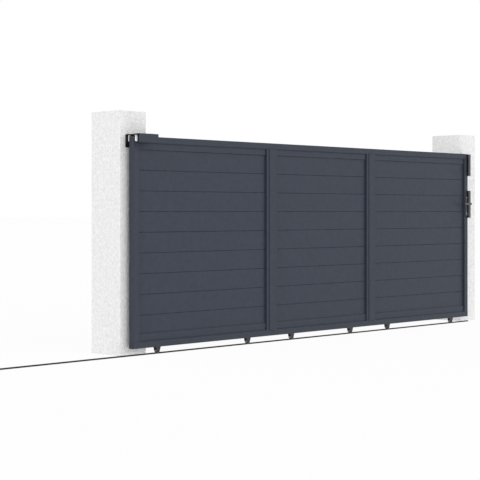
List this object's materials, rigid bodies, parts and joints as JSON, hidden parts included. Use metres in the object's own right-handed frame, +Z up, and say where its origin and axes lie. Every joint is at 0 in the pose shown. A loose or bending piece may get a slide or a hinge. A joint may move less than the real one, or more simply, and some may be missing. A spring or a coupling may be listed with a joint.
{
  "type": "sliding driveway gate",
  "caption": "Sliding driveway gate of horizontal aluminium boards in three bays, on grooved wheels and a ground track, with rendered pillars, roller guide, catches and lever lock.",
  "frame": {"origin": "centre of the left pillar's base, at ground level", "axes": "+X along the gate towards the right pillar, +Y away from the street, +Z up"},
  "size_m": [8.403, 0.479, 1.789],
  "materials": {
    "render": "rough white mineral render",
    "track_steel": "dull dark steel",
    "grey_steel": "satin dark grey coat",
    "black_steel": "satin black coat",
    "anthracite_coat": "fine-textured anthracite powder coat",
    "anthracite_plastic": "moulded matt",
    "zinc_steel": "zinc plated",
    "wheel_steel": "turned, dull",
    "white_nylon": "turned nylon",
    "black_handle": "satin black coat",
    "nickel": "satin nickel"
  },
  "bodies": {
    "site": {"left_pillar": "render", "right_pillar": "render", "track_length_1": "track_steel", "track_length_2": "track_steel", "track_length_3": "track_steel", "upper_catch": "grey_steel", "lock_keeper": "grey_steel", "guide_bracket": "black_steel", "open_stop": "black_steel", "guide_cover": "anthracite_coat", "guide_roller_pins": "zinc_steel"},
    "gate_leaf": {"wheel_carriage_1": "black_steel", "wheel_carriage_2": "black_steel", "wheel_carriage_3": "black_steel", "wheel_carriage_4": "black_steel", "wheel_carriage_5": "black_steel", "wheel_carriage_6": "black_steel", "bottom_rail": "anthracite_coat", "top_rail": "anthracite_coat", "left_end_stile": "anthracite_coat", "right_end_stile": "anthracite_coat", "left_middle_stile": "anthracite_coat", "right_middle_stile": "anthracite_coat", "left_bay_boards": "anthracite_coat", "left_bay_channels": "anthracite_coat", "middle_bay_boards": "anthracite_coat", "middle_bay_channels": "anthracite_coat", "right_bay_boards": "anthracite_coat", "right_bay_channels": "anthracite_coat", "rail_end_caps": "anthracite_plastic", "front_lock_plate": "black_handle", "back_lock_plate": "black_handle", "lock_cylinder": "nickel"},
    "wheel_body_1": {"wheel_1": "wheel_steel"},
    "wheel_body_2": {"wheel_2": "wheel_steel"},
    "wheel_body_3": {"wheel_3": "wheel_steel"},
    "wheel_body_4": {"wheel_4": "wheel_steel"},
    "wheel_body_5": {"wheel_5": "wheel_steel"},
    "wheel_body_6": {"wheel_6": "wheel_steel"},
    "roller_body_left_front": {"guide_roller_left_front": "white_nylon"},
    "roller_body_left_back": {"guide_roller_left_back": "white_nylon"},
    "roller_body_right_front": {"guide_roller_right_front": "white_nylon"},
    "roller_body_right_back": {"guide_roller_right_back": "white_nylon"},
    "lever_pair": {"front_lever": "black_handle", "back_lever": "black_handle"}
  },
  "joints": [
    {"name": "gate_slide", "type": "slide", "parent": "site", "child": "gate_leaf", "axis": [-1, 0, 0], "range_m": [0, 3.85]},
    {"name": "wheel_turn_1", "type": "hinge", "parent": "gate_leaf", "child": "wheel_body_1", "pos_m": [0.1855, -0.2195, 0.0208], "axis": [0, -1, 0], "range_deg": [0, 20055]},
    {"name": "wheel_turn_2", "type": "hinge", "parent": "gate_leaf", "child": "wheel_body_2", "pos_m": [1.1445, -0.2195, 0.0208], "axis": [0, -1, 0], "range_deg": [0, 20055]},
    {"name": "wheel_turn_3", "type": "hinge", "parent": "gate_leaf", "child": "wheel_body_3", "pos_m": [1.6605, -0.2195, 0.0208], "axis": [0, -1, 0], "range_deg": [0, 20055]},
    {"name": "wheel_turn_4", "type": "hinge", "parent": "gate_leaf", "child": "wheel_body_4", "pos_m": [2.4145, -0.2195, 0.0208], "axis": [0, -1, 0], "range_deg": [0, 20055]},
    {"name": "wheel_turn_5", "type": "hinge", "parent": "gate_leaf", "child": "wheel_body_5", "pos_m": [2.9305, -0.2195, 0.0208], "axis": [0, -1, 0], "range_deg": [0, 20055]},
    {"name": "wheel_turn_6", "type": "hinge", "parent": "gate_leaf", "child": "wheel_body_6", "pos_m": [3.8895, -0.2195, 0.0208], "axis": [0, -1, 0], "range_deg": [0, 20055]},
    {"name": "roller_turn_left_front", "type": "hinge", "parent": "site", "child": "roller_body_left_front", "pos_m": [-0.0485, -0.2568, 1.612], "axis": [0, 0, 1], "range_deg": [0, 22060]},
    {"name": "roller_turn_left_back", "type": "hinge", "parent": "site", "child": "roller_body_left_back", "pos_m": [-0.0485, -0.1822, 1.612], "axis": [0, 0, -1], "range_deg": [0, 22060]},
    {"name": "roller_turn_right_front", "type": "hinge", "parent": "site", "child": "roller_body_right_front", "pos_m": [0.0895, -0.2568, 1.612], "axis": [0, 0, 1], "range_deg": [0, 22060]},
    {"name": "roller_turn_right_back", "type": "hinge", "parent": "site", "child": "roller_body_right_back", "pos_m": [0.0895, -0.1822, 1.612], "axis": [0, 0, -1], "range_deg": [0, 22060]},
    {"name": "lever_turn", "type": "hinge", "parent": "gate_leaf", "child": "lever_pair", "pos_m": [4.1095, -0.2195, 1.125], "axis": [0, -1, 0], "range_deg": [0, 40], "stiffness_Nm_per_rad": 0.8, "springref_deg": -34.38}
  ],
  "couplings": [
    {"joint": "wheel_turn_1", "follows": "gate_slide", "rad_per_m": 90.909},
    {"joint": "wheel_turn_2", "follows": "gate_slide", "rad_per_m": 90.909},
    {"joint": "wheel_turn_3", "follows": "gate_slide", "rad_per_m": 90.909},
    {"joint": "wheel_turn_4", "follows": "gate_slide", "rad_per_m": 90.909},
    {"joint": "wheel_turn_5", "follows": "gate_slide", "rad_per_m": 90.909},
    {"joint": "wheel_turn_6", "follows": "gate_slide", "rad_per_m": 90.909},
    {"joint": "roller_turn_left_front", "follows": "gate_slide", "rad_per_m": 100},
    {"joint": "roller_turn_left_back", "follows": "gate_slide", "rad_per_m": 100},
    {"joint": "roller_turn_right_front", "follows": "gate_slide", "rad_per_m": 100},
    {"joint": "roller_turn_right_back", "follows": "gate_slide", "rad_per_m": 100}
  ]
}
